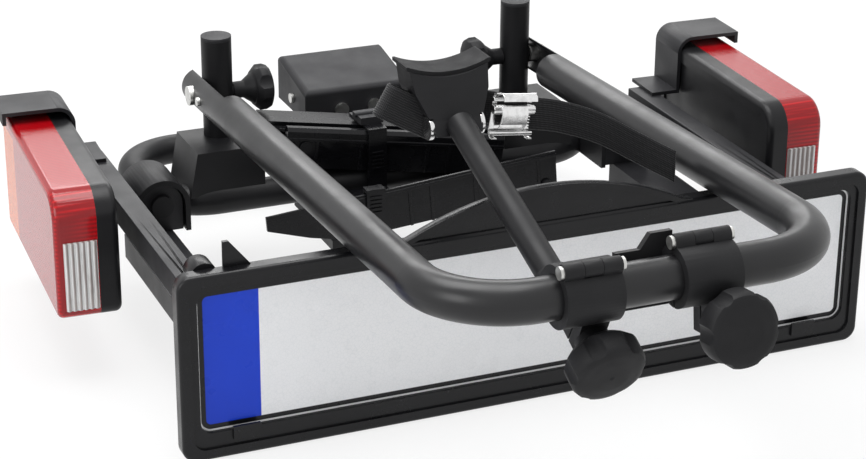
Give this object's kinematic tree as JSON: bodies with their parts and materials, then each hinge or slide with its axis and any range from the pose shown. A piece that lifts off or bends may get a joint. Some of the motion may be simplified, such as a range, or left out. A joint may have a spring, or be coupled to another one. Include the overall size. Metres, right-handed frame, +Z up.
{
  "type": "hitch bike rack",
  "caption": "Folding hitch-mounted bike rack with tube hoop, clamp holders, wheel trays, licence plate holder and swing-out rear lamps, in its folded state.",
  "frame": {"origin": "bottom centre of the folded rack's bounding box, on the floor", "axes": "+X across the car to the right lamp, +Y towards the car, +Z up"},
  "size_m": [0.6449, 0.6639, 0.249],
  "materials": {
    "black_steel": "satin powder coat",
    "dark_plastic": "fine grain",
    "gloss_black": "gloss",
    "red_lens": "clear red",
    "clear_window": "fluted clear",
    "bulb_glass": "clear",
    "plate_white": "reflective film",
    "zinc_steel": "zinc plated",
    "chrome": "polished",
    "black_iron": "painted cast",
    "rubber": "matte",
    "webbing": "ribbed"
  },
  "bodies": {
    "frame": {"frame_loop": "black_steel", "post_left": "black_steel", "post_right": "black_steel", "post_caps": "dark_plastic", "coupling_housing": "black_iron", "coupling_cover": "dark_plastic", "cover_fasteners": "zinc_steel", "lever_washer": "zinc_steel", "arm_bracket_left": "dark_plastic", "arm_bracket_right": "dark_plastic", "plate_arm_left": "black_steel", "plate_arm_right": "black_steel", "arm_bolts": "black_steel", "plate_holder": "dark_plastic", "number_plate": "plate_white", "holder_clips": "dark_plastic", "plate_light": "dark_plastic", "tray_rear_outer": "dark_plastic", "tray_rear_inner": "dark_plastic", "tray_front_outer": "dark_plastic", "tray_front_inner": "dark_plastic", "tray_hinge_pins": "black_steel", "wheel_strap": "dark_plastic", "strap_ratchet": "dark_plastic", "lamp_pivots": "zinc_steel"},
    "lamp_left": {"lamp_arm_left": "black_steel", "lamp_guard_left": "black_steel", "lamp_housing_left": "gloss_black", "lamp_lens_left": "red_lens", "lamp_window_left": "clear_window", "lamp_bulbs_left": "bulb_glass"},
    "lamp_right": {"lamp_arm_right": "black_steel", "lamp_guard_right": "black_steel", "lamp_housing_right": "gloss_black", "lamp_lens_right": "red_lens", "lamp_window_right": "clear_window", "lamp_bulbs_right": "bulb_glass"},
    "hoop": {"hoop": "black_steel", "hoop_bolts": "zinc_steel"},
    "post_knob_left": {"post_knob_left": "dark_plastic"},
    "post_knob_right": {"post_knob_right": "dark_plastic"},
    "holder_long": {"clamp_base_long": "dark_plastic", "clamp_jaw_long": "dark_plastic", "clamp_pin_long": "zinc_steel", "holder_arm": "black_steel", "cradle": "dark_plastic", "cradle_pad": "rubber", "cradle_bolt": "chrome", "cradle_strap": "webbing", "strap_buckle": "chrome"},
    "holder_short": {"clamp_base_short": "dark_plastic", "clamp_jaw_short": "dark_plastic", "clamp_pin_short": "zinc_steel"},
    "clamp_knob_long": {"clamp_knob_long": "dark_plastic"},
    "clamp_knob_short": {"clamp_knob_short": "dark_plastic"},
    "coupling_lever": {"coupling_lever": "black_steel", "lever_pin": "zinc_steel"},
    "coupling_jaw": {"coupling_jaw": "zinc_steel"}
  },
  "joints": [
    {"name": "hoop_fold", "type": "hinge", "parent": "frame", "child": "hoop", "pos_m": [0, 0.224, 0.144], "axis": [-1, 0, 0], "range_deg": [0, 88]},
    {"name": "lamp_left_swing", "type": "hinge", "parent": "frame", "child": "lamp_left", "pos_m": [-0.243, -0.089, 0.098], "axis": [0, 0, 1], "range_deg": [0, 90]},
    {"name": "lamp_right_swing", "type": "hinge", "parent": "frame", "child": "lamp_right", "pos_m": [0.243, -0.089, 0.098], "axis": [0, 0, -1], "range_deg": [0, 90]},
    {"name": "post_knob_left_turn", "type": "hinge", "parent": "frame", "child": "post_knob_left", "pos_m": [-0.1, 0.224, 0.144], "axis": [1, 0, 0], "continuous": true},
    {"name": "post_knob_right_turn", "type": "hinge", "parent": "frame", "child": "post_knob_right", "pos_m": [0.1, 0.224, 0.144], "axis": [-1, 0, 0], "continuous": true},
    {"name": "long_holder_swing", "type": "hinge", "parent": "hoop", "child": "holder_long", "pos_m": [-0.0515, -0.28657, 0.16495], "axis": [1, 0, 0], "range_deg": [0, 120]},
    {"name": "short_holder_swing", "type": "hinge", "parent": "hoop", "child": "holder_short", "pos_m": [0.0345, -0.28657, 0.16495], "axis": [-1, 0, 0], "range_deg": [-60, 90]},
    {"name": "long_knob_turn", "type": "hinge", "parent": "holder_long", "child": "clamp_knob_long", "pos_m": [-0.0405, -0.27035, 0.1317], "axis": [0, -0.8988, -0.4384], "continuous": true},
    {"name": "short_knob_turn", "type": "hinge", "parent": "holder_short", "child": "clamp_knob_short", "pos_m": [0.0435, -0.29088, 0.13425], "axis": [0, -0.9903, 0.1392], "continuous": true},
    {"name": "lever_turn", "type": "hinge", "parent": "frame", "child": "coupling_lever", "pos_m": [0.05, 0.296, 0.106], "axis": [-1, 0, 0], "range_deg": [0, 70]},
    {"name": "jaw_turn", "type": "hinge", "parent": "frame", "child": "coupling_jaw", "pos_m": [0, 0.23525, 0.055], "axis": [-1, 0, 0], "range_deg": [0, 12]}
  ],
  "couplings": [
    {"joint": "jaw_turn", "follows": "lever_turn", "ratio": 0.16}
  ]
}
